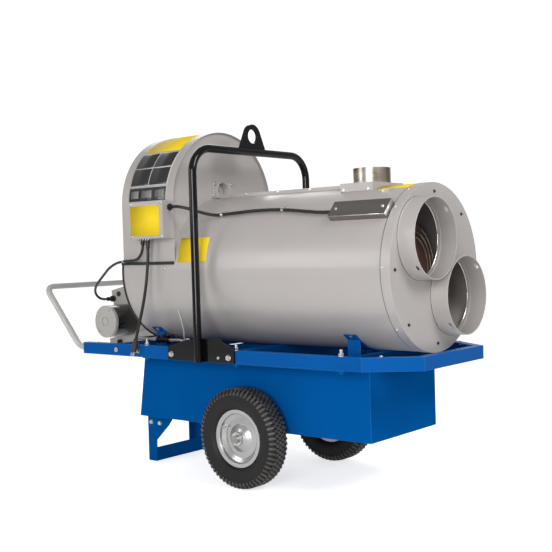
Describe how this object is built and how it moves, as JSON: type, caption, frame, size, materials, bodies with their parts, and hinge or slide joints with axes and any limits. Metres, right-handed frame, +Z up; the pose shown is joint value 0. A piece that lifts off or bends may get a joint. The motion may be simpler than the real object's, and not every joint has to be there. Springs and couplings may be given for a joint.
{
  "type": "forced air heater",
  "caption": "Indirect oil-fired air heater: round drum with duct outlets, fan hood, flue and rear burner on a wheeled cart with fuel tank, tow handle and lifting frame.",
  "frame": {"origin": "middle of the object's footprint, on the ground", "axes": "+X towards the warm air outlets, -Y towards the control side, +Z up"},
  "size_m": [2.0316, 0.7828, 1.502],
  "materials": {
    "blue_paint": "gloss powder coat",
    "grey_paint": "satin powder coat",
    "black_paint": "gloss paint",
    "silver_paint": "satin paint",
    "white_paint": "semi-gloss paint",
    "burner_paint": "satin paint",
    "zinc": "zinc plated",
    "stainless": "brushed stainless steel",
    "heat_steel": "heat stained stainless steel",
    "axle_steel": "plain steel",
    "motor_black": "satin black paint",
    "motor_grey": "cast, light grey paint",
    "pump_metal": "cast",
    "pipe_steel": "zinc plated",
    "black_plastic": "moulded",
    "fan_plastic": "moulded",
    "trim_rubber": "extruded",
    "cable_rubber": "extruded",
    "tyre_rubber": "moulded tread"
  },
  "bodies": {
    "cart": {"deck_rails": "blue_paint", "deck_crossmembers": "blue_paint", "drum_saddles": "blue_paint", "fuel_tank": "blue_paint", "filler_neck": "blue_paint", "hanger_brackets": "blue_paint", "leg_stand": "blue_paint", "tow_handle": "silver_paint", "lifting_frame": "black_paint", "lifting_eye": "black_paint", "lifting_side_plates": "black_paint", "frame_bolts": "zinc", "shell_screws": "zinc", "wheel_axle": "axle_steel", "body_shell": "grey_paint", "front_end_cap": "grey_paint", "upper_outlet_collar": "grey_paint", "lower_outlet_collar": "grey_paint", "top_seam_strip": "grey_paint", "edge_trim": "trim_rubber", "fan_hood_band": "grey_paint", "hood_front_plate": "grey_paint", "motor_mount": "grey_paint", "fan_motor": "motor_grey", "hood_rear_panel": "grey_paint", "inlet_guard": "zinc", "lower_rear_panel": "grey_paint", "combustion_chamber": "heat_steel", "flue_base": "grey_paint", "flue_collar": "stainless", "limit_switch_cover": "stainless", "burner_housing": "burner_paint", "burner_intake_box": "burner_paint", "ignition_box": "burner_paint", "burner_motor": "motor_black", "burner_end_cap": "motor_grey", "blast_tube": "stainless", "fuel_pump": "pump_metal", "fuel_pipes": "pipe_steel", "fuel_valve_body": "black_paint", "fuel_filter": "pump_metal", "control_box": "grey_paint", "control_box_lid": "grey_paint", "box_fittings": "black_plastic", "sensor_cable": "cable_rubber", "cable_clips": "zinc", "burner_cable": "cable_rubber", "power_cord": "cable_rubber", "power_plug": "black_plastic"},
    "left_wheel": {"left_tyre": "tyre_rubber", "left_rim": "white_paint"},
    "right_wheel": {"right_tyre": "tyre_rubber", "right_rim": "white_paint"},
    "fan": {"fan_rotor": "fan_plastic"},
    "burner_shaft": {"burner_rotor": "zinc"},
    "switch_lever": {"power_switch": "black_plastic"},
    "reset": {"reset_button": "black_plastic"},
    "damper": {"air_damper_knob": "black_plastic"},
    "valve_lever": {"fuel_valve_lever": "black_paint"},
    "filler_cap": {"fuel_cap": "black_plastic"}
  },
  "joints": [
    {"name": "left_wheel_spin", "type": "hinge", "parent": "cart", "child": "left_wheel", "pos_m": [0.21485, 0.307, 0.203], "axis": [0, 1, 0], "continuous": true},
    {"name": "right_wheel_spin", "type": "hinge", "parent": "cart", "child": "right_wheel", "pos_m": [0.21485, -0.307, 0.203], "axis": [0, 1, 0], "continuous": true},
    {"name": "fan_spin", "type": "hinge", "parent": "cart", "child": "fan", "pos_m": [-0.40515, 0, 1.229], "axis": [1, 0, 0], "continuous": true},
    {"name": "burner_shaft_spin", "type": "hinge", "parent": "cart", "child": "burner_shaft", "pos_m": [-0.73115, 0, 0.639], "axis": [0, 1, 0], "continuous": true},
    {"name": "power_switch_flip", "type": "hinge", "parent": "cart", "child": "switch_lever", "pos_m": [-0.33715, -0.349, 1.135], "axis": [0, 1, 0], "range_deg": [0, 24]},
    {"name": "reset_button_push", "type": "slide", "parent": "cart", "child": "reset", "axis": [0, 1, 0], "range_m": [0, 0.003], "stiffness_N_per_m": 200},
    {"name": "air_damper_turn", "type": "hinge", "parent": "cart", "child": "damper", "pos_m": [-0.80515, -0.045, 0.527], "axis": [0, 1, 0], "range_deg": [0, 90]},
    {"name": "fuel_valve_turn", "type": "hinge", "parent": "cart", "child": "valve_lever", "pos_m": [-0.31515, -0.222, 0.591], "axis": [0, 0, 1], "range_deg": [-90, 0]},
    {"name": "fuel_cap_lift", "type": "slide", "parent": "cart", "child": "filler_cap", "axis": [0, 0.866, 0.5], "range_m": [0, 0.045]}
  ]
}
